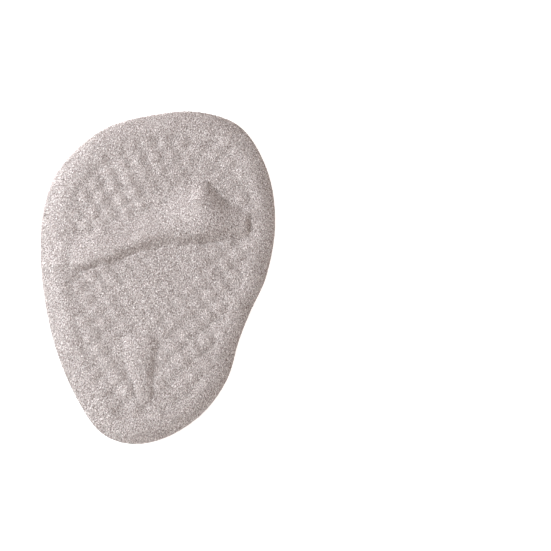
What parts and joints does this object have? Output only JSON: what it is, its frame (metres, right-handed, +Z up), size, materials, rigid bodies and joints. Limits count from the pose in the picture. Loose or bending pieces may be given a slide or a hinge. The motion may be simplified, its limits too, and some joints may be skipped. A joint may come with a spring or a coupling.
{
  "type": "metatarsal pad",
  "caption": "Plush-covered forefoot cushion with a curved toe ridge, a teardrop dome and small massage nubs inside a rolled rim.",
  "frame": {"origin": "on the ground, under the middle of the outline's bounding rectangle", "axes": "+Z up out of the plush face, +Y along the foot towards the toes, +X across the foot towards the side that bears the big toe"},
  "size_m": [0.0705, 0.1, 0.0084],
  "materials": {
    "plush": "short dense pile, matt",
    "core_foam": "soft moulded foam, matt"
  },
  "bodies": {
    "root": {"cushion_core": "core_foam", "plush_cover": "plush"}
  },
  "joints": []
}
